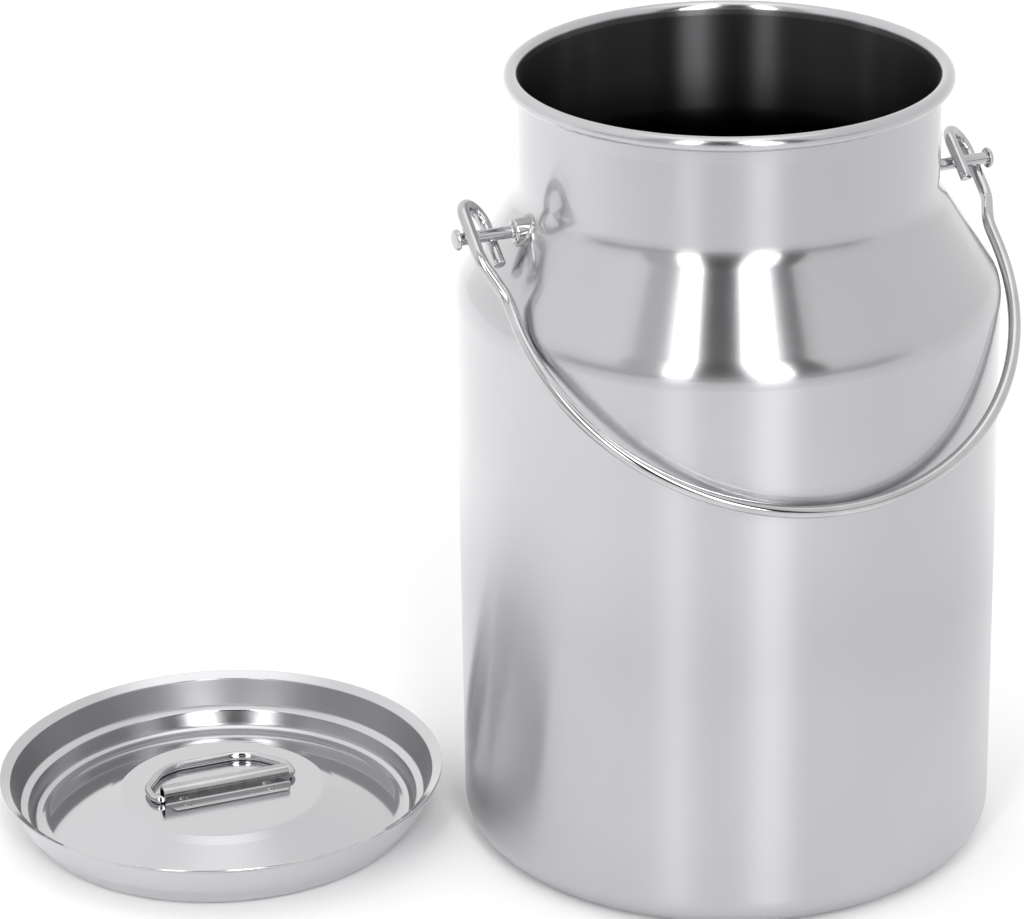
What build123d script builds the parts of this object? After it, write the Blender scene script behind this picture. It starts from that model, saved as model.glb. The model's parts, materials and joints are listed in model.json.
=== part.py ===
from build123d import *
import os
from math import cos, hypot, radians, sin, tan

# A wide-mouth stainless milk can of about ten litres, open, with its wire bail hanging
# on the front and its loose pan lid lying on the floor beside it. Millimetres, +Z up.
# The origin is the centre of the can's base. The bail's hinge pins lie along X, and the
# bail hangs towards -Y.

# Can
body_r = 108.0          # outside radius of the body
sheet = 1.0             # thickness of every sheet wall
foot_r = 14.0           # rounding between body and base
corner_z = 237.0        # height where body and shoulder cone would meet in a sharp corner
cone_angle = 33.0       # shoulder cone, degrees from vertical
shoulder_r = 20.0       # rounding over the shoulder
neck_r = 83.0           # outside radius of the neck
neck_fillet_r = 16.0    # rounding where the cone turns up into the neck
rim_z = 324.0           # top of the rolled rim
rim_bead_r = 3.0        # radius of the rolled bead
flare_h = 12.0          # neck's last stretch, flaring out into the bead
flare_w = 1.6
base_bead_r = 78.0      # middle of the stiffening bead pressed up into the base
base_bead_w = 12.0      # width at the underside; its flanks slope 45 degrees
base_bead_h = 2.0

# Wire bail and its two pins
pivot_z = 269.5         # height of the hinge pins
eye_x = 105.0           # middle of each bail eye, from the can's axis
wire_r = 2.5            # bail wire
pin_r = 2.5             # hinge pin
pin_gap = 0.3           # play between pin and wire
eye_half_x = 5.7        # half the distance between an eye's two strands, along the pin
eye_top = 16.5          # from the pin to the outside of the eye's closed end
eye_tail = 11.0         # from the pin to the tail's cut end
strand_end = 14.0       # from the pin to where the main strand starts to turn in
bow_r = 103.5           # radius of the bail's bow
bow_start = 39.0        # from the pin to where the bow starts
leg_start = 29.0        # from the pin to where the leg is back in the bail's plane
leg_bend_r = 16.0
bail_tilt = 51.7        # how far the resting bail leans out from straight down, degrees
pin_head_r = 4.2
pin_head_t = 2.0
pin_collar_r = 5.0
pin_collar_x = 92.0     # outer face of the collar at the pin's root

# Pan lid, lying beside the can
lid_x, lid_y = -193.1, 80.6
boss_top = 12.0         # top of the raised disc in the middle
lid_boss_r = 42.5       # its flat part
lid_boss_w = 4.5        # its sloping edge
lid_boss_h = 2.0
lid_rest_r = 73.0       # from here out the pan's floor lies flat on the ground
lid_floor_r = 79.4      # where floor and plug wall would meet in a sharp corner
lid_plug_r = 81.6       # plug wall at the step; it goes into the neck
lid_plug_h = 7.4
lid_step_w = 2.6        # sloping step that rests on the can's rolled rim
lid_step_h = 1.2
lid_flare_r = 88.4      # where the upper wall bends out into the lip
lid_flare_z = 19.9
lid_lip_r = 91.8        # outside of the flared lip
lid_lip_z = 22.4        # height of the lip's outer edge

# Ring clip and D-ring on the lid
clip_turn = -1.0        # direction of the clip's length, degrees from +X
clip_front = 4.0        # barrel's place in front of the middle of the lid
clip_half = 27.0
clip_front_w = 6.5      # flange in front of the barrel
clip_rear_w = 4.0       # flange behind it
clip_corner = 3.0       # bevel on the front flange's corners
barrel_r = 2.75         # inside of the barrel
barrel_rise = 3.8       # from the lid up to the middle of the barrel's rounding
ring_wire_r = 1.6
ring_gap = 0.3
ring_half = 30.3        # from the middle to the D-ring's side
ring_reach = 27.0       # from the barrel to the far side of the D-ring
ring_corner_r = 9.0     # bends at the D-ring's sides
ring_end_r = 4.2        # bends beside the barrel
ring_bow_r = 18.0       # bends of the far side
ring_slant = 12.0       # how far the far side's ends are drawn in
ring_slant_y = 16.0
ring_joint = 0.5        # half the gap between the wire's ends, inside the barrel

# Worked out from the above
cone = radians(cone_angle)
neck_corner_z = corner_z + (body_r - neck_r) / tan(cone)
seam_z = corner_z - shoulder_r * tan(cone / 2)
eye_half_w = wire_r + pin_r + pin_gap
eye_bend_r = hypot(eye_half_x, eye_half_w)
eye_centre = eye_top - wire_r - eye_bend_r
pin_end_x = eye_x + eye_half_x + wire_r + 0.8
ring_axis_z = boss_top + ring_wire_r + ring_gap


def turned(points, radii=None):
    """Solid of revolution about Z from (radius, height) points, with some corners rounded."""
    face = make_face(Polyline(*points, close=True))
    for corner, radius in (radii or {}).items():
        face = fillet(face.vertices().sort_by_distance((*points[corner], 0))[0], radius)
    return revolve(Plane.XZ * face, Axis.Z, 360)


def drum(radius, bottom, corner_r):
    """Cylinder from a height up to the shoulder seam, with its bottom edge rounded."""
    align = (Align.CENTER, Align.CENTER, Align.MIN)
    solid = Pos(0, 0, bottom) * Cylinder(radius, seam_z - bottom, align=align)
    return fillet(solid.edges().group_by(Axis.Z)[0], corner_r)


def base_bead(extra):
    """Ring with the stiffening bead's cross-section, made bigger all round by extra."""
    half = base_bead_w / 2 + extra
    top = base_bead_h + extra
    return turned([
        (base_bead_r - half, 0),
        (base_bead_r - half + base_bead_h, top),
        (base_bead_r + half - base_bead_h, top),
        (base_bead_r + half, 0),
    ])


def body_shell():
    """Seamless cylindrical body drawn in one with its base, up to the shoulder seam."""
    shell = drum(body_r, 0, foot_r) - drum(body_r - sheet, sheet, foot_r - sheet)
    return shell + base_bead(sheet) - base_bead(0)


def shell_profile(offset):
    """Wall line of shoulder and neck as (radius, height) points, moved in by offset."""
    return [
        (body_r - offset, seam_z),
        (body_r - offset, corner_z - offset * tan(cone / 2)),
        (neck_r - offset, neck_corner_z - offset * tan(cone / 2)),
        (neck_r - offset, rim_z - rim_bead_r),
    ]


def shoulder_neck():
    """Shoulder cone, straight neck and rolled rim, welded to the body at the shoulder seam."""
    outside = shell_profile(0)
    inside = shell_profile(sheet)
    points = outside + inside[::-1]
    rounding = {
        1: shoulder_r,
        2: neck_fillet_r,
        5: neck_fillet_r + sheet,
        6: shoulder_r - sheet,
    }
    wall = turned(points, rounding)
    bead = Pos(0, 0, rim_z - rim_bead_r) * Torus(neck_r - sheet + rim_bead_r, rim_bead_r)
    inner_r = neck_r - sheet / 2
    flare_top = rim_z - 1.5 * rim_bead_r
    flare = turned([
        (inner_r, rim_z - flare_h),
        (neck_r, rim_z - flare_h),
        (neck_r + flare_w, flare_top),
        (inner_r, flare_top),
    ])
    return wall + flare + bead


def shoulder_core():
    """Everything inside the outer surface of the shoulder and neck, as one solid."""
    outside = shell_profile(0)
    points = [(0, seam_z), *outside, (0, rim_z - rim_bead_r)]
    return turned(points, {2: shoulder_r, 3: neck_fillet_r})


def ear(side):
    """Hinge pin with a headed end, welded to the shoulder by its collar. side is 1 or -1."""
    turned_pin = turned([
        (0, neck_r),
        (pin_collar_r, neck_r),
        (pin_collar_r, pin_collar_x),
        (pin_r, pin_collar_x),
        (pin_r, pin_end_x),
        (pin_head_r, pin_end_x),
        (pin_head_r, pin_end_x + pin_head_t),
        (0, pin_end_x + pin_head_t),
    ], {2: 1.5, 6: 1.2})
    placed = Pos(0, 0, pivot_z) * Rot(0, 90 * side, 0) * turned_pin
    return placed - shoulder_core()


def bail_point(side, x, down, out):
    """A point of the bail's wire. down runs along the leg from the pin, out is across its plane."""
    tilt = radians(bail_tilt)
    across = side * out
    return Vector(
        side * x,
        -down * sin(tilt) - across * cos(tilt),
        pivot_z - down * cos(tilt) + across * sin(tilt),
    )


def bail_end(side):
    """One end of the bail's centre line: tail, closed eye, then the leg down to the bow."""
    tail_x, main_x = eye_x - eye_half_x, eye_x + eye_half_x
    tail_end = bail_point(side, tail_x, eye_tail, eye_half_w)
    tail_top = bail_point(side, tail_x, -eye_centre, eye_half_w)
    eye_crown = bail_point(side, eye_x, -eye_centre - eye_bend_r, 0)
    main_top = bail_point(side, main_x, -eye_centre, -eye_half_w)
    main_turn = bail_point(side, main_x, strand_end, -eye_half_w)
    leg_turn = bail_point(side, bow_r, leg_start, 0)
    leg_end = bail_point(side, bow_r, bow_start, 0)
    return [
        Line(tail_end, tail_top),
        ThreePointArc(tail_top, eye_crown, main_top),
        FilletPolyline(main_top, main_turn, leg_turn, leg_end, radius=leg_bend_r),
    ]


def bail():
    """Bail bent from one wire, with a skewed closed eye round each pin."""
    bow = ThreePointArc(
        bail_point(1, bow_r, bow_start, 0),
        bail_point(1, 0, bow_start + bow_r, 0),
        bail_point(-1, bow_r, bow_start, 0),
    )
    edges = [edge for piece in [*bail_end(1), bow, *bail_end(-1)] for edge in piece.edges()]
    path = Wire(edges)
    start = bail_point(1, eye_x - eye_half_x, eye_tail, eye_half_w)
    along = bail_point(1, eye_x - eye_half_x, -eye_centre, eye_half_w) - start
    section = Plane(origin=start, z_dir=along) * Circle(wire_r)
    return sweep(section, path=path)


def lid_pan():
    """Pressed pan lid: raised disc on a domed floor, stepped wall and flared lip."""
    step_r, step_z = lid_plug_r + lid_step_w, lid_plug_h + lid_step_h
    middle = [
        (0, boss_top),
        (lid_boss_r, boss_top),
        (lid_boss_r + lid_boss_w, boss_top - lid_boss_h),
    ]
    under = [(r, z - sheet) for r, z in middle] + [
        (lid_rest_r, 0),
        (lid_floor_r, 0),
        (lid_plug_r, lid_plug_h),
        (step_r, step_z),
        (lid_flare_r, lid_flare_z - sheet),
        (lid_lip_r, lid_lip_z - sheet),
    ]
    over = [
        (lid_lip_r, lid_lip_z),
        (lid_flare_r - 0.8 * sheet, lid_flare_z),
        (step_r - sheet, step_z + 0.8 * sheet),
        (lid_plug_r - sheet, lid_plug_h + 0.8 * sheet),
        (lid_floor_r - 1.2 * sheet, sheet),
        (lid_rest_r, sheet),
    ] + middle[::-1]
    rounding = {1: 3, 2: 3, 3: 8, 4: 4.5, 7: 3.5, 10: 2.5, 13: 3.5, 14: 8, 15: 3, 16: 3}
    return Pos(lid_x, lid_y, 0) * turned(under + over, rounding)


def on_lid(shape):
    """Moves a shape from the clip's own frame to the lid: X along the barrel, +Y to the back."""
    return Pos(lid_x, lid_y, 0) * Rot(0, 0, clip_turn) * Pos(0, -clip_front, 0) * shape


def barrel(radius, length):
    """The barrel's arched cross-section, run along the clip, from the lid's raised disc up."""
    arch = Pos(0, 0, boss_top + barrel_rise) * Rot(0, 90, 0) * Cylinder(radius, length)
    foot = Pos(0, 0, boss_top) * Box(
        length, 2 * radius, barrel_rise, align=(Align.CENTER, Align.CENTER, Align.MIN)
    )
    return arch + foot


def ring_clip():
    """Strip folded over the D-ring's straight side and spot-welded to the lid by its flanges."""
    outer_r = barrel_r + sheet
    front, back = -outer_r - clip_front_w, outer_r + clip_rear_w
    outline = Polyline(
        (-clip_half, back),
        (-clip_half, front + clip_corner),
        (clip_corner - clip_half, front),
        (clip_half - clip_corner, front),
        (clip_half, front + clip_corner),
        (clip_half, back),
        close=True,
    )
    flange = extrude(Pos(0, 0, boss_top) * make_face(outline), sheet)
    return on_lid(flange + barrel(outer_r, 2 * clip_half) - barrel(barrel_r, 4 * clip_half))


def lid_ring():
    """D-ring of round wire, folded flat to the back, its two ends meeting inside the barrel."""
    right = [
        (ring_joint, 0),
        (ring_half, 0),
        (ring_half, ring_reach - ring_slant_y),
        (ring_half - ring_slant, ring_reach),
    ]
    corners = right + [(-x, y) for x, y in right[::-1]]
    radii = [ring_end_r, ring_corner_r, ring_bow_r]
    path = FilletPolyline(*[(x, y, ring_axis_z) for x, y in corners], radius=radii + radii[::-1])
    section = Plane(origin=(ring_joint, 0, ring_axis_z), z_dir=(1, 0, 0)) * Circle(ring_wire_r)
    return on_lid(sweep(section, path=path))


os.makedirs("parts", exist_ok=True)
nodes = {
    "body_shell": body_shell(),
    "shoulder_neck": shoulder_neck(),
    "ear_left": ear(-1),
    "ear_right": ear(1),
    "bail": bail(),
    "lid_pan": lid_pan(),
    "ring_clip": ring_clip(),
    "lid_ring": lid_ring(),
}
for name, shape in nodes.items():
    export_step(shape, f"parts/{name}.step")
    print(name, round(shape.volume), shape.is_valid)
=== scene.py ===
import json
from math import atan2, cos, hypot, pi, radians, sin, sqrt, tan

import bpy
from mathutils import Matrix, Vector


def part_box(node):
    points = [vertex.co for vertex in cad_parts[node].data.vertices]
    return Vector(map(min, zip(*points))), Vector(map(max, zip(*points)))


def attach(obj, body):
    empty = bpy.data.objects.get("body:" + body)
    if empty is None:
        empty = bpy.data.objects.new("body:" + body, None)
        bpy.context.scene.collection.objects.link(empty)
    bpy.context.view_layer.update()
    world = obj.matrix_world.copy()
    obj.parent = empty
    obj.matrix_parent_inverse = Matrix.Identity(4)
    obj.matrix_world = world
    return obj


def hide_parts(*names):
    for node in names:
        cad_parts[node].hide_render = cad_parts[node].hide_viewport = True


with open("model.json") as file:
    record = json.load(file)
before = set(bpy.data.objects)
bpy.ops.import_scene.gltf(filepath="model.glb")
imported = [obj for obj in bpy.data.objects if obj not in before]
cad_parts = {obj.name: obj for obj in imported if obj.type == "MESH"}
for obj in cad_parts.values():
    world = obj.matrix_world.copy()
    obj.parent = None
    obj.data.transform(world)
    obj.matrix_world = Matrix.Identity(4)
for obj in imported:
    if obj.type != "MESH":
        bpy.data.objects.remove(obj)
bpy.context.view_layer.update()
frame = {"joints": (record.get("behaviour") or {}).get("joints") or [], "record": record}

# Everything is in metres. A figure times MM is a size in millimetres.
MM = 0.001
joints = {joint["name"]: joint for joint in frame["joints"]}
mounts = {mount["name"]: mount for mount in frame["record"]["mounts"]}

# Can
BODY_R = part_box("body_shell")[1].x
SEAM_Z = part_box("body_shell")[1].z
RIM_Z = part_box("shoulder_neck")[1].z
SHEET = 1 * MM
NECK_IN_R = mounts["mouth"]["dims"]["r_mm"] * MM
NECK_R = NECK_IN_R + SHEET
FOOT_R = 14 * MM
CONE = radians(33)
SHOULDER_R = 20 * MM
NECK_FILLET_R = 16 * MM
CORNER_Z = SEAM_Z + SHOULDER_R * tan(CONE / 2)
NECK_CORNER_Z = CORNER_Z + (BODY_R - NECK_R) / tan(CONE)
BEAD_R = 3 * MM
RIM_FLARE_H = 12 * MM
BASE_BEAD_R = 78 * MM
BASE_BEAD_HALF = 6 * MM
BASE_BEAD_H = 2 * MM
BASE_BEND_R = 1.2 * MM
MEET_GAP = 0.01 * MM    # keeps two roundings that meet from sharing a point

# Bail and pins
PIVOT = Vector(joints["bail_swing"]["pos_m"])
TILT = radians(51.7)
WIRE_R = 2.5 * MM
PIN_R = 2.5 * MM
PIN_GAP = 0.3 * MM
PIN_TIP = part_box("ear_right")[1].x
PIN_HEAD_R = 4.2 * MM
PIN_HEAD_T = 2 * MM
PIN_COLLAR_R = 5 * MM
PIN_COLLAR_X = 92 * MM
WELD_R = 0.9 * MM
EYE_X = 105 * MM
EYE_HALF_X = 5.7 * MM
EYE_HALF_W = WIRE_R + PIN_R + PIN_GAP
EYE_BEND_R = hypot(EYE_HALF_X, EYE_HALF_W)
EYE_TOP = 16.5 * MM
EYE_CENTRE = EYE_TOP - WIRE_R - EYE_BEND_R
EYE_TAIL = 11 * MM
STRAND_END = 14 * MM
LEG_START = 29 * MM
LEG_BEND_R = 16 * MM
BOW_START = 39 * MM
BOW_R = 103.5 * MM

# Lid
LID_LOW, LID_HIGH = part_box("lid_pan")
LID_X, LID_Y = (LID_LOW.x + LID_HIGH.x) / 2, (LID_LOW.y + LID_HIGH.y) / 2
LIP_R = (LID_HIGH.x - LID_LOW.x) / 2
BOSS_TOP = 12 * MM
BOSS_R = 42.2 * MM
BOSS_FOOT_R = 47.3 * MM
BOSS_H = 2 * MM
LID_REST_R = 73 * MM    # from here out the floor of the lid lies flat on the ground
RING_PIVOT = Vector(joints["ring_fold"]["pos_m"])
RING_AXIS = Vector(joints["ring_fold"]["axis"])
CLIP_TURN = atan2(RING_AXIS.y, RING_AXIS.x)
CLIP_HALF = 27 * MM
CLIP_FRONT_W = 6.5 * MM
CLIP_REAR_W = 4 * MM
CLIP_CORNER = 3 * MM
BARREL_R = 2.75 * MM
BARREL_RISE = 3.8 * MM
RING_WIRE_R = 1.6 * MM
RING_HALF = 30.3 * MM
RING_REACH = 27 * MM
RING_END_R = 4.2 * MM
RING_CORNER_R = 9 * MM
RING_BOW_R = 18 * MM
RING_SLANT = 12 * MM
RING_SLANT_Y = 16 * MM
RING_JOINT = 0.3 * MM
SPOT_X = 18 * MM
SPOT_BACK = 3.6 * MM

AROUND = 224            # segments round the can and lid
CAMERA_AZIMUTH = radians(-25)


# ---------------------------------------------------------------- mesh helpers

def finish_mesh(name, verts, faces, materials, face_materials=None, sharp_angle=38):
    """A smooth-shaded mesh object whose edges are sharp past sharp_angle degrees."""
    mesh = bpy.data.meshes.new(name)
    mesh.from_pydata([tuple(v) for v in verts], [], faces)
    mesh.validate()
    for material in materials:
        mesh.materials.append(material)
    if face_materials:
        mesh.polygons.foreach_set("material_index", face_materials)
    mesh.shade_smooth()
    mesh.set_sharp_from_angle(angle=radians(sharp_angle))
    piece = bpy.data.objects.new(name, mesh)
    bpy.context.scene.collection.objects.link(piece)
    return piece


def even_normals(piece):
    """Keeps flat stretches flat beside small roundings."""
    modifier = piece.modifiers.new("even normals", "WEIGHTED_NORMAL")
    modifier.keep_sharp = True
    return piece


def fillet(before, corner, after, radius, steps):
    """Points of an arc that rounds a corner, in 2D or 3D."""
    before, corner, after = Vector(before), Vector(corner), Vector(after)
    u, v = (before - corner).normalized(), (after - corner).normalized()
    half = u.angle(v) / 2
    centre = corner + (u + v).normalized() * (radius / sin(half))
    start, end = corner + u * (radius / tan(half)), corner + v * (radius / tan(half))
    sweep = pi - 2 * half
    first = start - centre
    across = (end - centre) - first * cos(sweep)
    across = across.normalized() * radius
    return [
        centre + first * cos(sweep * i / steps) + across * sin(sweep * i / steps)
        for i in range(steps + 1)
    ]


def rounded(corners, steps=8):
    """Runs through (point, radius) corners and rounds those whose radius isn't zero."""
    line = []
    for i, (point, radius) in enumerate(corners):
        if radius:
            line += fillet(corners[i - 1][0], point, corners[(i + 1) % len(corners)][0], radius, steps)
        else:
            line.append(Vector(point))
    return line


def lathe(name, profile, materials, material_of=None, closed=False, around=AROUND):
    """Turns (radius, height) points about Z. A point at radius 0 becomes a pole."""
    verts, rings = [], []
    for r, z in profile:
        if r < 1e-7:
            rings.append([len(verts)])
            verts.append((0, 0, z))
        else:
            rings.append(list(range(len(verts), len(verts) + around)))
            for k in range(around):
                turn = 2 * pi * k / around
                verts.append((r * cos(turn), r * sin(turn), z))
    faces, kinds = [], []
    for i in range(len(rings) if closed else len(rings) - 1):
        a, b = rings[i], rings[(i + 1) % len(rings)]
        for k in range(around):
            n = (k + 1) % around
            if len(a) == 1:
                face = (a[0], b[n], b[k])
            elif len(b) == 1:
                face = (a[k], a[n], b[0])
            else:
                face = (a[k], a[n], b[n], b[k])
            faces.append(face)
            kinds.append(material_of(i) if material_of else 0)
    return even_normals(finish_mesh(name, verts, faces, materials, kinds))


def tube(name, path, radius, materials, around=32, closed=False, edge=0.25):
    """A round wire along a path of points. edge is how much of the radius the cut ends lose."""
    count = len(path)
    tangents = []
    for i in range(count):
        ahead = path[(i + 1) % count] if closed or i < count - 1 else path[i]
        behind = path[i - 1] if closed or i else path[i]
        tangents.append((ahead - behind).normalized())
    normal = tangents[0].orthogonal().normalized()
    rings = []
    for i, (point, tangent) in enumerate(zip(path, tangents)):
        normal = (normal - tangent * normal.dot(tangent)).normalized()
        rings.append((point, normal.copy(), tangent.cross(normal), radius))
    if not closed:
        rim = radius * edge
        first, last = rings[0], rings[-1]
        cut = []
        for turn in (0.0, 0.35, 0.7):
            shrink = radius - rim + rim * sin(pi / 2 * turn)
            cut.append((1 - cos(pi / 2 * turn), shrink))
        start = [(first[0] + tangents[0] * rim * along, *first[1:3], r) for along, r in cut]
        end = [(last[0] - tangents[-1] * rim * along, *last[1:3], r) for along, r in cut]
        rings = start + [(first[0] + tangents[0] * rim, *first[1:3], radius)] + rings[1:-1]
        rings += [(last[0] - tangents[-1] * rim, *last[1:3], radius)] + end[::-1]
    verts = [
        point + (across * cos(2 * pi * k / around) + up * sin(2 * pi * k / around)) * r
        for point, across, up, r in rings for k in range(around)
    ]
    faces = []
    for i in range(len(rings) if closed else len(rings) - 1):
        a, b = i * around, (i + 1) % len(rings) * around
        for k in range(around):
            n = (k + 1) % around
            faces.append((a + k, a + n, b + n, b + k))
    if not closed:
        faces.append(tuple(range(around - 1, -1, -1)))
        faces.append(tuple(range((len(rings) - 1) * around, len(rings) * around)))
    return finish_mesh(name, verts, faces, materials)


def half_turn(start, crown, end, steps):
    """Points of a half circle from start over crown to end."""
    centre = (start + end) / 2
    return [
        centre + (start - centre) * cos(pi * i / steps) + (crown - centre) * sin(pi * i / steps)
        for i in range(steps + 1)
    ]


def place(piece, matrix):
    """Moves a piece by changing its vertices."""
    piece.data.transform(matrix)
    return piece


# ---------------------------------------------------------------- materials

def link(tree, source, target):
    tree.links.new(source, target)


def number(tree, kind, *items):
    """One arithmetic node. Each item is a number or a socket."""
    node = tree.nodes.new("ShaderNodeMath")
    node.operation = kind
    for socket, item in zip(node.inputs, items):
        if isinstance(item, (int, float)):
            socket.default_value = item
        else:
            link(tree, item, socket)
    return node.outputs[0]


def ramp(tree, value, start, end, low=0.0, high=1.0):
    """Smooth step from low to high while value goes from start to end."""
    node = tree.nodes.new("ShaderNodeMapRange")
    node.interpolation_type = "SMOOTHSTEP"
    for socket, item in (("From Min", start), ("From Max", end), ("To Min", low), ("To Max", high)):
        node.inputs[socket].default_value = item
    link(tree, value, node.inputs["Value"])
    return node.outputs["Result"]


def band(tree, value, low, high, soft):
    """1 where value lies between low and high, with soft edges, else 0."""
    rise = ramp(tree, value, low - soft, low + soft)
    return number(tree, "MULTIPLY", rise, ramp(tree, value, high + soft, high - soft))


def blend(tree, factor, base, value):
    """base where factor is 0 and value where it is 1."""
    change = number(tree, "SUBTRACT", value, base)
    return number(tree, "ADD", base, number(tree, "MULTIPLY", factor, change))


def new_material(name):
    material = bpy.data.materials.new(name)
    material.use_nodes = True
    tree = material.node_tree
    return material, tree, tree.nodes["Principled BSDF"]


def grain_coordinate(tree, centre, fineness, run):
    """Coordinates whose fine direction crosses the turning marks about a vertical axis."""
    nodes = tree.nodes
    where = nodes.new("ShaderNodeTexCoord").outputs["Object"]
    shift = nodes.new("ShaderNodeVectorMath")
    shift.operation = "SUBTRACT"
    shift.inputs[1].default_value = centre
    link(tree, where, shift.inputs[0])
    split = nodes.new("ShaderNodeSeparateXYZ")
    link(tree, shift.outputs[0], split.inputs[0])
    flat = nodes.new("ShaderNodeVectorMath")
    flat.operation = "MULTIPLY"
    flat.inputs[1].default_value = (1, 1, 0)
    link(tree, shift.outputs[0], flat.inputs[0])
    reach = nodes.new("ShaderNodeVectorMath")
    reach.operation = "LENGTH"
    link(tree, flat.outputs[0], reach.inputs[0])
    along = nodes.new("ShaderNodeVectorMath")
    along.operation = "SCALE"
    along.inputs["Scale"].default_value = run
    link(tree, flat.outputs[0], along.inputs[0])
    across = number(tree, "ADD", reach.outputs["Value"], split.outputs["Z"])
    whole = nodes.new("ShaderNodeCombineXYZ")
    link(tree, number(tree, "MULTIPLY", across, fineness), whole.inputs["Z"])
    total = nodes.new("ShaderNodeVectorMath")
    total.operation = "ADD"
    link(tree, along.outputs[0], total.inputs[0])
    link(tree, whole.outputs[0], total.inputs[1])
    return total.outputs[0], where


def noise(tree, coordinate, scale, detail=3.0):
    node = tree.nodes.new("ShaderNodeTexNoise")
    node.inputs["Scale"].default_value = scale
    node.inputs["Detail"].default_value = detail
    link(tree, coordinate, node.inputs["Vector"])
    return node.outputs["Fac"]


def spread(tree, value, low, high):
    """Maps noise, which lies mostly between 0.3 and 0.7, to low..high."""
    node = tree.nodes.new("ShaderNodeMapRange")
    node.inputs["From Min"].default_value = 0.3
    node.inputs["From Max"].default_value = 0.7
    node.inputs["To Min"].default_value = low
    node.inputs["To Max"].default_value = high
    link(tree, value, node.inputs["Value"])
    return node.outputs["Result"]


def tint(tree, factor, dark, light):
    node = tree.nodes.new("ShaderNodeMix")
    node.data_type = "RGBA"
    node.inputs["A"].default_value = (*dark, 1)
    node.inputs["B"].default_value = (*light, 1)
    link(tree, factor, node.inputs["Factor"])
    return node.outputs["Result"]


def bump(tree, height, distance, below=None):
    node = tree.nodes.new("ShaderNodeBump")
    node.inputs["Strength"].default_value = 1.0
    node.inputs["Distance"].default_value = distance
    link(tree, height, node.inputs["Height"])
    if below:
        link(tree, below, node.inputs["Normal"])
    return node.outputs["Normal"]


def turned_steel(name, centre, dark, light, rough, anisotropy, grain, wave, gloss=1.0):
    """Sheet steel brushed round a vertical axis: fine turning marks over a faintly uneven sheet."""
    material, tree, shader = new_material(name)
    marks, where = grain_coordinate(tree, centre, 900, 6)
    fine = noise(tree, marks, 1.0, 4.0)
    cloud = noise(tree, where, 9.0, 2.0)
    link(tree, tint(tree, spread(tree, cloud, 0, 1), dark, light), shader.inputs["Base Color"])
    link(tree, spread(tree, fine, rough * 0.98, rough * 1.02), shader.inputs["Roughness"])
    uneven = bump(tree, noise(tree, where, 9.0, 1.0), wave)
    link(tree, bump(tree, fine, grain, uneven), shader.inputs["Normal"])
    shader.inputs["Metallic"].default_value = 1.0
    shader.inputs["Anisotropic"].default_value = anisotropy
    shader.inputs["Anisotropic Rotation"].default_value = 0.25
    shader.inputs["Coat Weight"].default_value = gloss
    shader.inputs["Coat Roughness"].default_value = 0.03
    shader.inputs["Coat IOR"].default_value = 2.0
    tangent = tree.nodes.new("ShaderNodeTangent")
    tangent.direction_type = "RADIAL"
    tangent.axis = "Z"
    link(tree, tangent.outputs[0], shader.inputs["Tangent"])
    return material


def height_ramp(tree, low, high, least):
    """Smooth step from `least` at height low to 1 at height high."""
    split = tree.nodes.new("ShaderNodeSeparateXYZ")
    link(tree, tree.nodes.new("ShaderNodeTexCoord").outputs["Object"], split.inputs[0])
    return ramp(tree, split.outputs["Z"], low, high, least)


def fade_gloss(material, low, high):
    """Lets the clear reflections fade out from height high down to height low."""
    tree = material.node_tree
    link(tree, height_ramp(tree, low, high, 0.0), tree.nodes["Principled BSDF"].inputs["Coat Weight"])


def paint_shade_with_depth(material, low, high, least):
    """Painted shade: scales the base colour from `least` below height low to 1 above height high."""
    tree = material.node_tree
    shader = tree.nodes["Principled BSDF"]
    colour = shader.inputs["Base Color"].links[0].from_socket
    scale = tree.nodes.new("ShaderNodeVectorMath")
    scale.operation = "SCALE"
    link(tree, colour, scale.inputs[0])
    link(tree, height_ramp(tree, low, high, least), scale.inputs["Scale"])
    link(tree, scale.outputs[0], shader.inputs["Base Color"])


def bright_steel(name, dark, light, rough, scuff):
    """Polished wire or strip with faint scuffs."""
    material, tree, shader = new_material(name)
    where = tree.nodes.new("ShaderNodeTexCoord").outputs["Object"]
    cloud = noise(tree, where, 60.0, 3.0)
    link(tree, tint(tree, spread(tree, cloud, 0, 1), dark, light), shader.inputs["Base Color"])
    patches = noise(tree, where, 240.0, 4.0)
    link(tree, spread(tree, patches, rough * 0.7, rough * 1.5), shader.inputs["Roughness"])
    link(tree, bump(tree, noise(tree, where, 420.0, 4.0), scuff), shader.inputs["Normal"])
    shader.inputs["Metallic"].default_value = 1.0
    return material


def floor_paint():
    """White paint with painted shade: a little greyer out of the picture to the right and in front."""
    material, tree, shader = new_material("floor paint")
    where = tree.nodes.new("ShaderNodeTexCoord").outputs["Object"]
    split = tree.nodes.new("ShaderNodeSeparateXYZ")
    link(tree, where, split.inputs[0])
    side = number(tree, "ADD", number(tree, "MULTIPLY", split.outputs["X"], cos(CAMERA_AZIMUTH)),
                  number(tree, "MULTIPLY", split.outputs["Y"], sin(CAMERA_AZIMUTH)))
    side = number(tree, "ADD", side, number(tree, "MULTIPLY", noise(tree, where, 1.5, 2.0), 0.05))
    ahead = number(tree, "SUBTRACT", number(tree, "MULTIPLY", split.outputs["X"], sin(CAMERA_AZIMUTH)),
                   number(tree, "MULTIPLY", split.outputs["Y"], cos(CAMERA_AZIMUTH)))
    # Painted shade: the floor's colour greys away to the right and in front.
    fade = number(tree, "MAXIMUM", ramp(tree, side, 0.12, 0.55), ramp(tree, ahead, 0.25, 0.85))
    link(tree, tint(tree, fade, (0.96, 0.96, 0.965), (0.74, 0.74, 0.745)), shader.inputs["Base Color"])
    shader.inputs["Roughness"].default_value = 0.9
    return material


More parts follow.
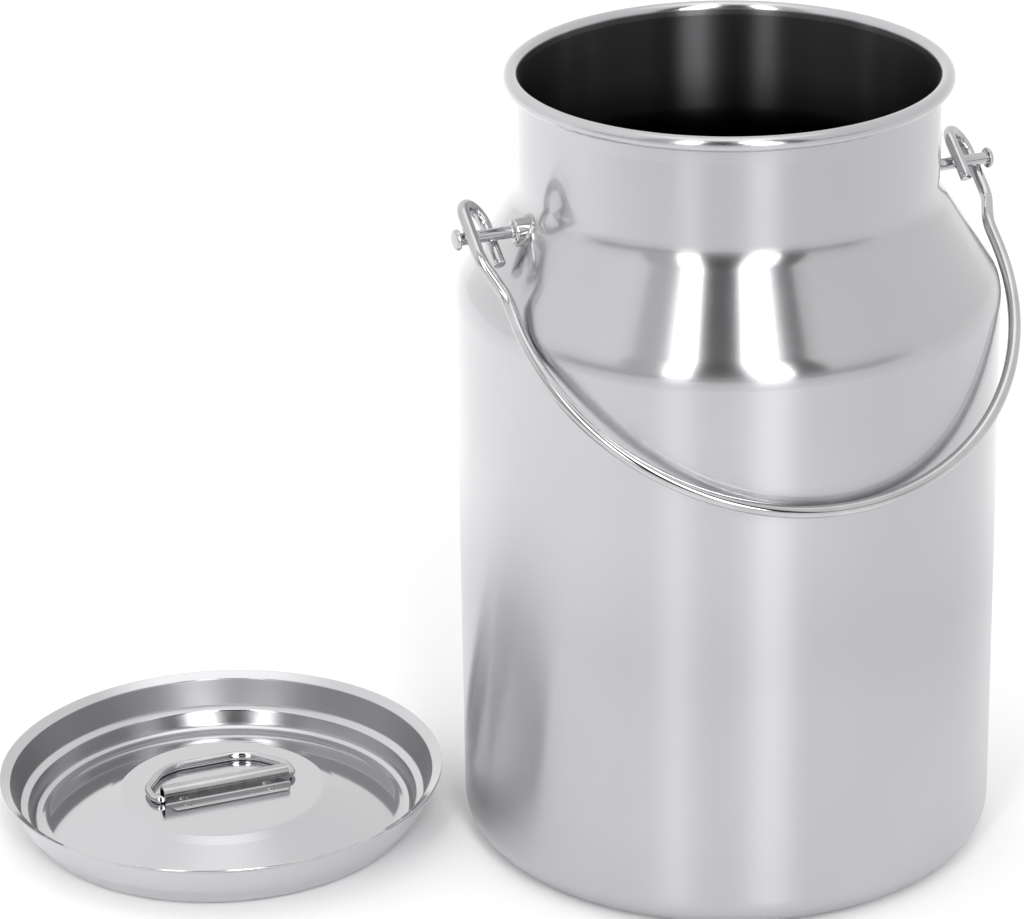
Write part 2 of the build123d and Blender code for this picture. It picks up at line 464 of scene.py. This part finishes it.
CAN_AXIS, LID_AXIS = (0, 0, 0), (LID_X, LID_Y, 0)
can_steel = turned_steel(
    "can steel", CAN_AXIS, (0.49, 0.483, 0.50), (0.53, 0.522, 0.54),
    rough=0.24, anisotropy=0.92, grain=0.0000001, wave=0.00002)
body_steel = turned_steel(
    "body steel", CAN_AXIS, (0.52, 0.513, 0.53), (0.56, 0.552, 0.57),
    rough=0.26, anisotropy=0.93, grain=0.0000001, wave=0.00002)
fade_gloss(body_steel, 0.11, 0.18)
# Inside of the can: a darker copy of the can's steel as painted shade, made darker still with depth
# below the rim as more painted shade.
inside_painted_shade_steel = turned_steel(
    "can inside painted shade steel", CAN_AXIS, (0.17, 0.17, 0.176), (0.20, 0.20, 0.207),
    rough=0.26, anisotropy=0.95, grain=0.0000003, wave=0.00002, gloss=0.0)
paint_shade_with_depth(inside_painted_shade_steel, 0.265, 0.300, 0.03)
# The lid's upper and lower walls: satin steel whose darker base colour is painted shade.
lid_wall_painted_shade_steel = turned_steel(
    "lid wall painted shade steel", LID_AXIS, (0.29, 0.287, 0.297), (0.33, 0.326, 0.337),
    rough=0.45, anisotropy=0.4, grain=0.0000003, wave=0.00001, gloss=0.0)
lid_plug_painted_shade_steel = turned_steel(
    "lid plug painted shade steel", LID_AXIS, (0.34, 0.336, 0.347), (0.38, 0.376, 0.387),
    rough=0.26, anisotropy=0.6, grain=0.0000003, wave=0.00001, gloss=0.0)
lid_steel = turned_steel(
    "lid steel", LID_AXIS, (0.54, 0.532, 0.55), (0.58, 0.572, 0.59),
    rough=0.12, anisotropy=0.6, grain=0.0000003, wave=0.00001)
wire_steel = bright_steel("wire steel", (0.50, 0.50, 0.51), (0.60, 0.60, 0.61), 0.06, 0.000003)
clip_steel = bright_steel("clip steel", (0.46, 0.46, 0.47), (0.54, 0.54, 0.55), 0.12, 0.000005)
weld_steel = bright_steel("weld steel", (0.42, 0.40, 0.39), (0.62, 0.60, 0.58), 0.25, 0.00004)


# ---------------------------------------------------------------- can

def body_profile():
    """Outline of the drawn body and base, from the middle of the underside round to the inside."""
    bead_in, bead_out = BASE_BEAD_R - BASE_BEAD_HALF, BASE_BEAD_R + BASE_BEAD_HALF
    slope = BASE_BEAD_H
    outside = [
        ((0, 0), 0),
        ((bead_in, 0), BASE_BEND_R),
        ((bead_in + slope, BASE_BEAD_H), BASE_BEND_R),
        ((bead_out - slope, BASE_BEAD_H), BASE_BEND_R),
        ((bead_out, 0), BASE_BEND_R),
        ((BODY_R, 0), FOOT_R),
        ((BODY_R, SEAM_Z), 0),
    ]
    inside = [
        ((BODY_R - SHEET, SEAM_Z), 0),
        ((BODY_R - SHEET, SHEET), FOOT_R - SHEET),
        ((bead_out + SHEET, SHEET), BASE_BEND_R),
        ((bead_out + SHEET - slope, SHEET + BASE_BEAD_H), BASE_BEND_R),
        ((bead_in - SHEET + slope, SHEET + BASE_BEAD_H), BASE_BEND_R),
        ((bead_in - SHEET, SHEET), BASE_BEND_R),
        ((0, SHEET), 0),
    ]
    return rounded(outside + inside, 10), len(rounded(outside, 10))


def top_profile():
    """Outline of shoulder, neck and rolled rim, outside first and then inside."""
    drop = SHEET * tan(CONE / 2)
    rim_low = RIM_Z - BEAD_R
    bead_x = NECK_IN_R + BEAD_R
    flare_end = -radians(125)
    outside = rounded([
        ((BODY_R, SEAM_Z), 0),
        ((BODY_R, CORNER_Z), SHOULDER_R - MEET_GAP),
        ((NECK_R, NECK_CORNER_Z), NECK_FILLET_R),
        ((NECK_R, RIM_Z - RIM_FLARE_H), 14 * MM),
        ((bead_x + BEAD_R * cos(flare_end), rim_low + BEAD_R * sin(flare_end)), 0),
    ], 14)
    steps = 26
    bead = [
        Vector((bead_x + BEAD_R * cos(a), rim_low + BEAD_R * sin(a)))
        for a in [flare_end + (pi - flare_end) * i / steps for i in range(1, steps + 1)]
    ]
    inside = rounded([
        ((NECK_IN_R, RIM_Z - 5 * MM), 0),
        ((NECK_IN_R, NECK_CORNER_Z - drop), NECK_FILLET_R + SHEET),
        ((BODY_R - SHEET, CORNER_Z - drop), SHOULDER_R - SHEET - MEET_GAP),
        ((BODY_R - SHEET, SEAM_Z), 0),
    ], 14)
    return outside + bead + inside, len(outside) + len(bead)


def make_can():
    profile, inner_start = body_profile()
    body = lathe("can_body", profile, [body_steel, inside_painted_shade_steel], lambda i: int(i >= inner_start))
    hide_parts("body_shell")
    profile, inner_start = top_profile()
    top = lathe("can_shoulder_and_neck", profile, [can_steel, inside_painted_shade_steel],
                lambda i: int(inner_start <= i < len(profile) - 1), closed=True)
    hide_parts("shoulder_neck")
    for piece in (body, top):
        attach(piece, "can")


def surface_radius(z):
    """Radius of the shoulder's outside at a height on the cone."""
    return BODY_R - (z - CORNER_Z) * tan(CONE)


def make_ear(side, node):
    """Headed hinge pin with its collar, standing in a weld bead on the shoulder."""
    root = surface_radius(PIVOT.z) - 4 * MM
    head_x = PIN_TIP - PIN_HEAD_T
    profile = rounded([
        ((0, root), 0),
        ((PIN_COLLAR_R, root), 0),
        ((PIN_COLLAR_R, PIN_COLLAR_X), 1.4 * MM),
        ((PIN_R, PIN_COLLAR_X), 0.8 * MM),
        ((PIN_R, head_x), 0.3 * MM),
        ((PIN_HEAD_R, head_x), 0.5 * MM),
        ((PIN_HEAD_R, PIN_TIP), 1.3 * MM),
        ((0, PIN_TIP), 0),
    ], 6)
    turn = Matrix.Translation(PIVOT) @ Matrix.Rotation(side * pi / 2, 4, "Y")
    pin = place(lathe(f"hinge_pin_{node}", profile, [wire_steel], around=48), turn)
    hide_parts(f"ear_{node}")
    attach(pin, "can")
    bead = weld_ring(f"weld_bead_{node}", side)
    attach(bead, "can")


def weld_ring(name, side):
    """Rippled fillet bead where the collar meets the sloping shoulder."""
    path = []
    steps = 96
    for i in range(steps):
        a = 2 * pi * i / steps
        reach = PIN_COLLAR_R + 0.15 * MM + 0.12 * MM * sin(17 * a)
        y, z = reach * cos(a), PIVOT.z + reach * sin(a)
        out = surface_radius(z)
        path.append(Vector((side * (sqrt(out * out - y * y) + 0.1 * MM), y, z)))
    return tube(name, path, WELD_R, [weld_steel], around=12, closed=True)


# ---------------------------------------------------------------- bail

def bail_point(side, x, down, out):
    """A point of the bail's wire: down along the leg from the pin, out across the bail's plane."""
    across = side * out
    return Vector((
        side * x,
        -down * sin(TILT) - across * cos(TILT),
        PIVOT.z - down * cos(TILT) + across * sin(TILT),
    ))


def bail_end(side):
    """Centre line of one end, from the tail's cut end round the eye and down the leg."""
    tail_x, main_x = EYE_X - EYE_HALF_X, EYE_X + EYE_HALF_X
    tail_end = bail_point(side, tail_x, EYE_TAIL, EYE_HALF_W)
    tail_top = bail_point(side, tail_x, -EYE_CENTRE, EYE_HALF_W)
    crown = bail_point(side, EYE_X, -EYE_CENTRE - EYE_BEND_R, 0)
    main_top = bail_point(side, main_x, -EYE_CENTRE, -EYE_HALF_W)
    main_turn = bail_point(side, main_x, STRAND_END, -EYE_HALF_W)
    leg_turn = bail_point(side, BOW_R, LEG_START, 0)
    leg_end = bail_point(side, BOW_R, BOW_START, 0)
    tail = [tail_end.lerp(tail_top, i / 6) for i in range(6)]
    eye = half_turn(tail_top, crown, main_top, 28)
    leg = fillet(main_top, main_turn, leg_turn, LEG_BEND_R, 8)
    leg += fillet(main_turn, leg_turn, leg_end, LEG_BEND_R, 8)
    return tail + eye + leg


def make_bail():
    right, left = bail_end(1), bail_end(-1)
    bow = half_turn(
        bail_point(1, BOW_R, BOW_START, 0),
        bail_point(1, 0, BOW_START + BOW_R, 0),
        bail_point(-1, BOW_R, BOW_START, 0),
        120,
    )
    bail = tube("bail_wire", right + bow + left[::-1], WIRE_R, [wire_steel], edge=0.2)
    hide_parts("bail")
    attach(bail, "bail")


# ---------------------------------------------------------------- lid

def lid_profile():
    """Outline of the pressed pan, under side first and then back along the top."""
    lip_z = LID_HIGH.z
    foot_z = BOSS_TOP - BOSS_H
    under = [
        ((0, BOSS_TOP - SHEET), 0),
        ((BOSS_R, BOSS_TOP - SHEET), 5 * MM),
        ((BOSS_FOOT_R, foot_z - SHEET), 6 * MM),
        ((LID_REST_R, 0), 8 * MM),
        ((79.4 * MM, 0), 4.5 * MM),
        ((81.6 * MM, 7.4 * MM), 0.9 * MM),
        ((84.8 * MM, 8.6 * MM), 0.9 * MM),
        ((88.2 * MM, 18.9 * MM), 2.5 * MM),
        ((LIP_R, lip_z - SHEET), 0.45 * MM),
        ((LIP_R, lip_z), 0.45 * MM),
    ]
    over = [
        ((87.4 * MM, 19.9 * MM), 1.6 * MM),
        ((83.9 * MM, 9.4 * MM), 0.9 * MM),
        ((80.6 * MM, 8.2 * MM), 0.9 * MM),
        ((78.2 * MM, SHEET), 3.5 * MM),
        ((LID_REST_R, SHEET), 8 * MM),
        ((BOSS_FOOT_R, foot_z), 6 * MM),
        ((BOSS_R, BOSS_TOP), 5 * MM),
        ((0, BOSS_TOP), 0),
    ]
    return rounded(under + over, 8)


def on_lid(piece):
    """From the clip's own frame, X along the barrel and +Y to the back, to its place on the lid."""
    origin = Vector((RING_PIVOT.x, RING_PIVOT.y, 0))
    return place(piece, Matrix.Translation(origin) @ Matrix.Rotation(CLIP_TURN, 4, "Z"))


def clip_section():
    """Cross-section of the folded strip as a closed loop of (y, z) points."""
    outer = BARREL_R + SHEET
    middle = BOSS_TOP + BARREL_RISE
    front, back = -outer - CLIP_FRONT_W, outer + CLIP_REAR_W
    foot = BOSS_TOP + SHEET
    steps = 20
    turns = [pi * i / steps for i in range(steps + 1)]
    over = [Vector((-outer * cos(a), middle + outer * sin(a))) for a in turns]
    under = [Vector((BARREL_R * cos(a), middle + BARREL_R * sin(a))) for a in turns]
    front_bend = fillet((front, foot), (-outer, foot), (-outer, middle), 0.9 * MM, 5)
    back_bend = fillet((outer, middle), (outer, foot), (back, foot), 0.9 * MM, 5)
    front_edge = fillet((front, BOSS_TOP), (front, foot), (-outer, foot), 0.35 * MM, 3)
    back_edge = fillet((outer, foot), (back, foot), (back, BOSS_TOP), 0.35 * MM, 3)
    lower = [Vector((back, BOSS_TOP)), Vector((BARREL_R, BOSS_TOP))]
    near = [Vector((-BARREL_R, BOSS_TOP)), Vector((front, BOSS_TOP))]
    return front_edge + front_bend + over + back_bend + back_edge + lower + under + near


def make_clip():
    """The strip, run along X, with bevelled front corners."""
    section = clip_section()
    front = min(p.x for p in section)
    stations = [-1, -0.997, -0.5, 0, 0.5, 0.997, 1]
    verts = []
    for station in stations:
        for y, z in section:
            reach = CLIP_HALF - max(0, front + CLIP_CORNER - y)
            verts.append((station * reach, y, z))
    count = len(section)
    faces = []
    for s in range(len(stations) - 1):
        for k in range(count):
            n = (k + 1) % count
            faces.append((s * count + k, s * count + n, (s + 1) * count + n, (s + 1) * count + k))
    last = (len(stations) - 1) * count
    faces.append(tuple(range(count - 1, -1, -1)))
    faces.append(tuple(range(last, last + count)))
    clip = on_lid(finish_mesh("ring_clip_strip", verts, faces, [clip_steel]))
    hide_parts("ring_clip")
    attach(clip, "lid")


def make_ring():
    """D-ring: straight side in the barrel, bowed side folded to the back."""
    shoulder, crown = RING_REACH - RING_SLANT_Y, RING_HALF - RING_SLANT
    corners = [
        ((RING_JOINT, 0), 0),
        ((RING_HALF, 0), RING_END_R),
        ((RING_HALF, shoulder), RING_CORNER_R),
        ((crown, RING_REACH), RING_BOW_R),
        ((-crown, RING_REACH), RING_BOW_R),
        ((-RING_HALF, shoulder), RING_CORNER_R),
        ((-RING_HALF, 0), RING_END_R),
        ((-RING_JOINT, 0), 0),
    ]
    path = [Vector((p.x, p.y, RING_PIVOT.z)) for p in rounded(corners, 12)]
    ring = on_lid(tube("d_ring", path, RING_WIRE_R, [wire_steel], around=28))
    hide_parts("lid_ring")
    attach(ring, "ring")


def make_spot_welds():
    """Small sunk weld marks on the clip's front flange, each with a raised rim."""
    top = BOSS_TOP + SHEET
    y = -BARREL_R - SHEET - SPOT_BACK
    for i, x in enumerate((-SPOT_X, SPOT_X), 1):
        profile = rounded([
            ((0, top - 0.05 * MM), 0),
            ((1.0 * MM, top + 0.02 * MM), 0.4 * MM),
            ((1.5 * MM, top + 0.12 * MM), 0.2 * MM),
            ((1.9 * MM, top - 0.1 * MM), 0),
            ((0, top - 0.3 * MM), 0),
        ], 4)
        weld = lathe(f"spot_weld_{i}", profile, [weld_steel], around=28)
        on_lid(place(weld, Matrix.Translation((x, y, 0))))
        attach(weld, "lid")


def make_lid():
    """The pressed pan. The inside of its walls is satin, with a darker base colour that is painted
    shade; the rest is polished.
    """
    profile = lid_profile()
    inside_start = len(profile) // 2
    polished, shaded_upper_wall, shaded_plug_wall = range(3)

    # Picks each band's material: polished, or one of the two satin wall materials whose darker colour
    # is painted shade.
    def finish_and_shade_of(i):
        r, z = (profile[i] + profile[i + 1]) / 2
        if i < inside_start or not 78.3 * MM < r < 87.6 * MM or not 1.5 * MM < z < 19.8 * MM:
            return polished
        if z > 9.1 * MM and r > 83.6 * MM:
            return shaded_upper_wall
        return shaded_plug_wall if z < 7.8 * MM else polished

    pan = lathe("lid_pan_sheet", profile, [lid_steel, lid_wall_painted_shade_steel, lid_plug_painted_shade_steel], finish_and_shade_of)
    place(pan, Matrix.Translation((LID_X, LID_Y, 0)))
    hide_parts("lid_pan")
    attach(pan, "lid")


# ---------------------------------------------------------------- studio

def make_floor():
    mesh = bpy.data.meshes.new("floor")
    half = 14
    corners = [(-half, -half, 0), (half, -half, 0), (half, half, 0), (-half, half, 0)]
    mesh.from_pydata(corners, [], [(0, 1, 2, 3)])
    mesh.materials.append(floor_paint())
    floor = bpy.data.objects.new("floor", mesh)
    floor.location.z = -0.2 * MM
    bpy.context.scene.collection.objects.link(floor)


# Light tent by direction seen from the can: azimuth in degrees to the right of the camera.
# Each patch is (azimuth from, to, softness, lean, elevation from, to, softness, light);
# lean is how far its foot stands further to the right than its top.
TENT_PATCHES = [
    (-75, 75, 12, 0, -30, 10, 4, 0.32),
    (-46, 38, 2.5, 0, 8, 64, 6, 0.60),
    (-15, 8, 2.0, 0, 8, 64, 6, 0.02),
    (22, 38, 2.0, 4, 8, 64, 6, 0.02),
    (-26, -15, 1.5, 0, 9, 54, 7, 6.0),
    (8, 22, 1.5, 5, 9, 56, 7, 9.0),
]
ZENITH_LIGHT = 1.5


def make_studio():
    """A white light tent, dark in front of the can where two strip lights stand."""
    world = bpy.data.worlds.new("studio")
    bpy.context.scene.world = world
    world.use_nodes = True
    tree = world.node_tree
    direction = tree.nodes.new("ShaderNodeTexCoord").outputs["Generated"]
    turn = tree.nodes.new("ShaderNodeVectorRotate")
    turn.rotation_type = "Z_AXIS"
    turn.inputs["Angle"].default_value = -CAMERA_AZIMUTH
    link(tree, direction, turn.inputs["Vector"])
    split = tree.nodes.new("ShaderNodeSeparateXYZ")
    link(tree, turn.outputs[0], split.inputs[0])
    x, y, z = (split.outputs[axis] for axis in "XYZ")
    toward = number(tree, "MULTIPLY", y, -1.0)
    azimuth = number(tree, "MULTIPLY", number(tree, "ARCTAN2", x, toward), 180 / pi)
    elevation = number(tree, "MULTIPLY", number(tree, "ARCSINE", z), 180 / pi)
    low_light = ramp(tree, x, -0.6, 0.6, 1.0, 0.85)
    high_light = ramp(tree, x, -0.6, 0.6, 1.05, 0.88)
    light = blend(tree, ramp(tree, elevation, 15, 38), low_light, high_light)
    light = blend(tree, ramp(tree, elevation, 58, 78), light, ZENITH_LIGHT)
    foot = ramp(tree, elevation, 40, 12)
    for low, high, soft, lean, bottom, top, fade, power in TENT_PATCHES:
        leaned = number(tree, "SUBTRACT", azimuth, number(tree, "MULTIPLY", foot, lean))
        patch = band(tree, leaned, low, high, soft)
        patch = number(tree, "MULTIPLY", patch, band(tree, elevation, bottom, top, fade))
        light = blend(tree, patch, light, power)
    background = tree.nodes["Background"]
    colour = tree.nodes.new("ShaderNodeCombineColor")
    for channel in ("Red", "Green", "Blue"):
        link(tree, light, colour.inputs[channel])
    link(tree, colour.outputs[0], background.inputs["Color"])


def make_camera():
    """The photograph's view: a long lens aimed 23 degrees down, from -Y turned 25 degrees to -X."""
    distance, height = 1.6703, 0.8692
    heading, pitch, roll = radians(-2.971), radians(23.058), radians(0.899)
    data = bpy.data.cameras.new("camera")
    data.lens, data.sensor_width = 158.2, 36
    camera = bpy.data.objects.new("camera", data)
    aim = Matrix.Rotation(CAMERA_AZIMUTH, 3, "Z")
    camera.location = aim @ Vector((0, -distance, height))
    forward = aim @ Vector((sin(heading) * cos(pitch), cos(heading) * cos(pitch), -sin(pitch)))
    upright = forward.to_track_quat("-Z", "Y").to_matrix()
    camera.rotation_euler = (upright @ Matrix.Rotation(-roll, 3, "Z")).to_euler()
    bpy.context.scene.collection.objects.link(camera)
    bpy.context.scene.camera = camera


make_can()
make_ear(-1, "left")
make_ear(1, "right")
make_bail()
make_lid()
make_clip()
make_spot_welds()
make_ring()
make_floor()
make_studio()
make_camera()
bpy.context.scene.view_settings.view_transform = "Standard"
